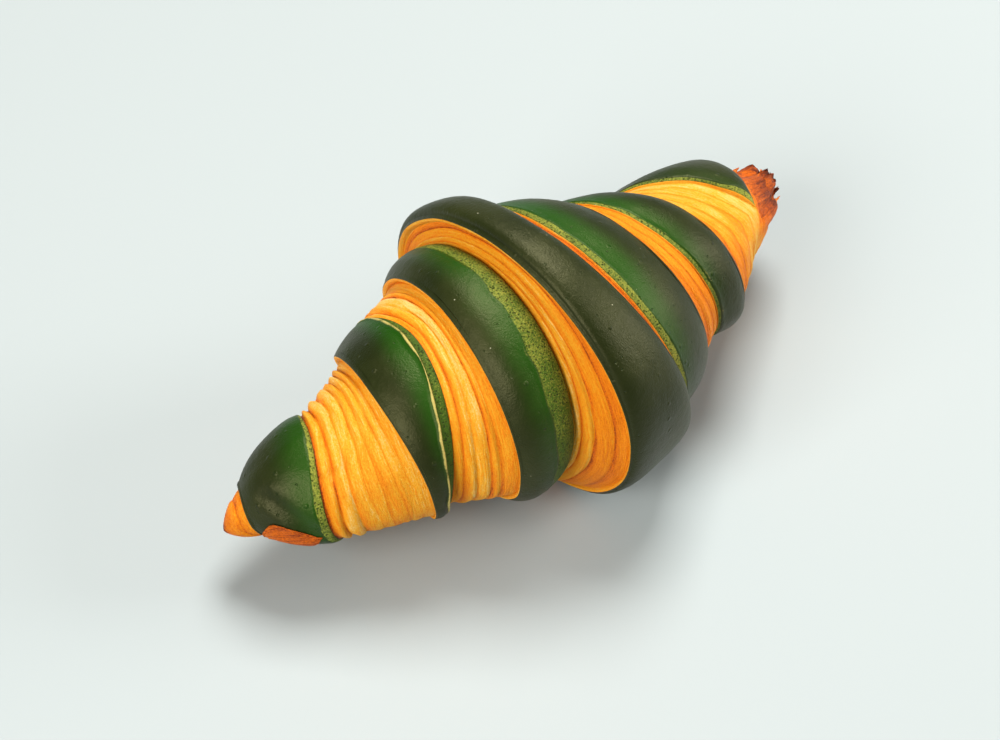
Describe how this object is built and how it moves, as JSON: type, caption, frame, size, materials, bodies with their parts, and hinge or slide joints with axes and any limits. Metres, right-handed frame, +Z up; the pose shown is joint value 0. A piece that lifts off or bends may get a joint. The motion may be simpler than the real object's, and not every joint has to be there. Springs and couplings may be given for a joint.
{
  "type": "croissant",
  "caption": "Two-colour croissant: a crescent-shaped pastry roll with a dark green dough skin and golden flaky layers showing between its turns.",
  "frame": {"origin": "on the table plane under the middle of the croissant's box", "axes": "+X along the length from the left tip to the flaky right tip, +Y to the back, where the tips bend, +Z up"},
  "size_m": [0.165, 0.0804, 0.0694],
  "materials": {
    "pastry": "baked dough, dark green satin skin with golden flaky layers"
  },
  "bodies": {
    "root": {"croissant": "pastry"}
  },
  "joints": []
}
